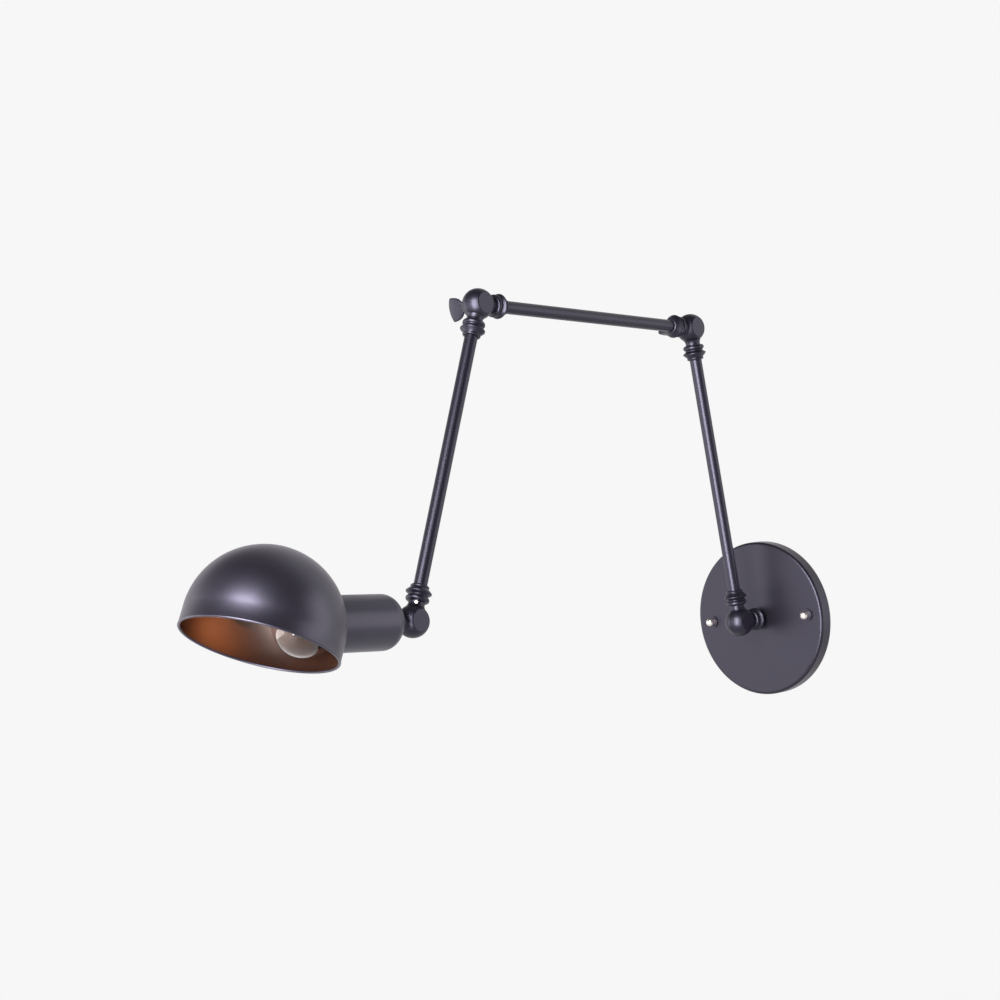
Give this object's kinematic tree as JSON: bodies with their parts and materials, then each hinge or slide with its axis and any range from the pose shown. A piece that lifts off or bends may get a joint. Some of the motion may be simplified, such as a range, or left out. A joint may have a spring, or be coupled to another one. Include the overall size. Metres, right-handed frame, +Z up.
{
  "type": "accordion wall lamp",
  "caption": "Wall lamp whose tubular arms fold at split-ball knuckles with wing screws, carrying a domed shade and a globe bulb.",
  "frame": {"origin": "centre of the canopy on the wall plane, midway between the two wall screw slots", "axes": "+Y into the wall, -Y out into the room, +Z up, X along the wall and along every knuckle's pivot"},
  "size_m": [0.13, 0.5994, 0.3436],
  "materials": {
    "black_paint": "satin",
    "zinc_steel": "zinc plated",
    "nickel": "polished nickel",
    "brass": "bright",
    "black_plastic": "moulded",
    "friction_fibre": "fibre",
    "lead_sheath": "smooth sheath",
    "porcelain": "glazed",
    "clear_glass": "clear",
    "cap_metal": "pressed",
    "tungsten": "drawn wire"
  },
  "bodies": {
    "wall_base": {"canopy": "black_paint", "mounting_bar": "zinc_steel", "mounting_studs": "zinc_steel", "cap_nut_washers": "black_paint", "cap_nuts": "nickel", "bar_screws": "brass", "terminal_block": "black_plastic", "terminal_screws": "brass", "nipple_washer": "zinc_steel", "nipple_nut": "zinc_steel", "stub_collar": "black_paint", "wall_knuckle_near_half": "black_paint", "wall_pivot_screw": "black_paint", "wall_screw_washer": "black_paint", "wall_friction_washer": "friction_fibre", "supply_lead": "lead_sheath"},
    "lower_arm": {"wall_knuckle_far_half": "black_paint", "lower_arm_inner_collar": "black_paint", "lower_arm_tube": "black_paint", "lower_arm_outer_collar": "black_paint", "first_elbow_far_half": "black_paint", "first_elbow_screw_washer": "black_paint", "lower_arm_lead": "lead_sheath"},
    "middle_arm": {"first_elbow_near_half": "black_paint", "middle_arm_inner_collar": "black_paint", "middle_arm_tube": "black_paint", "middle_arm_outer_collar": "black_paint", "second_elbow_near_half": "black_paint", "first_elbow_friction_washer": "friction_fibre", "second_elbow_friction_washer": "friction_fibre", "middle_arm_lead": "lead_sheath"},
    "outer_arm": {"second_elbow_far_half": "black_paint", "second_elbow_screw_washer": "black_paint", "outer_arm_inner_collar": "black_paint", "outer_arm_tube": "black_paint", "outer_arm_outer_collar": "black_paint", "head_knuckle_far_half": "black_paint", "grub_screw": "nickel", "outer_arm_lead": "lead_sheath"},
    "lamp_head": {"head_knuckle_near_half": "black_paint", "head_pivot_screw": "black_paint", "head_screw_washer": "black_paint", "head_friction_washer": "friction_fibre", "cup_ring": "black_paint", "lampholder_cup": "black_paint", "cup_nut": "zinc_steel", "holder_bracket": "zinc_steel", "holder_screws": "zinc_steel", "lampholder": "porcelain", "screw_shell": "brass", "centre_contact": "brass", "shade": "black_paint", "head_lead": "lead_sheath"},
    "bulb": {"bulb_glass": "clear_glass", "bulb_cap": "cap_metal", "bulb_contact_end": "cap_metal", "bulb_stem": "clear_glass", "bulb_filament": "tungsten"},
    "first_elbow_wing": {"first_elbow_wing_screw": "black_paint"},
    "second_elbow_wing": {"second_elbow_wing_screw": "black_paint"}
  },
  "joints": [
    {"name": "wall_knuckle", "type": "hinge", "parent": "wall_base", "child": "lower_arm", "pos_m": [0, -0.039, 0], "axis": [1, 0, 0], "range_deg": [-10, 180]},
    {"name": "first_elbow", "type": "hinge", "parent": "lower_arm", "child": "middle_arm", "pos_m": [0, -0.05905, 0.24919], "axis": [1, 0, 0], "range_deg": [-191, 28]},
    {"name": "second_elbow", "type": "hinge", "parent": "middle_arm", "child": "outer_arm", "pos_m": [0, -0.30844, 0.26663], "axis": [-1, 0, 0], "range_deg": [-40, 180]},
    {"name": "head_knuckle", "type": "hinge", "parent": "outer_arm", "child": "lamp_head", "pos_m": [0, -0.41012, 0.03825], "axis": [1, 0, 0], "range_deg": [-39, 180]},
    {"name": "first_elbow_wing_turn", "type": "hinge", "parent": "middle_arm", "child": "first_elbow_wing", "pos_m": [0, -0.05905, 0.24919], "axis": [-1, 0, 0], "range_deg": [0, 360]},
    {"name": "second_elbow_wing_turn", "type": "hinge", "parent": "middle_arm", "child": "second_elbow_wing", "pos_m": [0, -0.30844, 0.26663], "axis": [-1, 0, 0], "range_deg": [0, 360]},
    {"name": "bulb_turn", "type": "hinge", "parent": "lamp_head", "child": "bulb", "pos_m": [0, -0.41012, 0.03825], "axis": [0, -0.9972, 0.075], "range_deg": [0, 1440]}
  ]
}
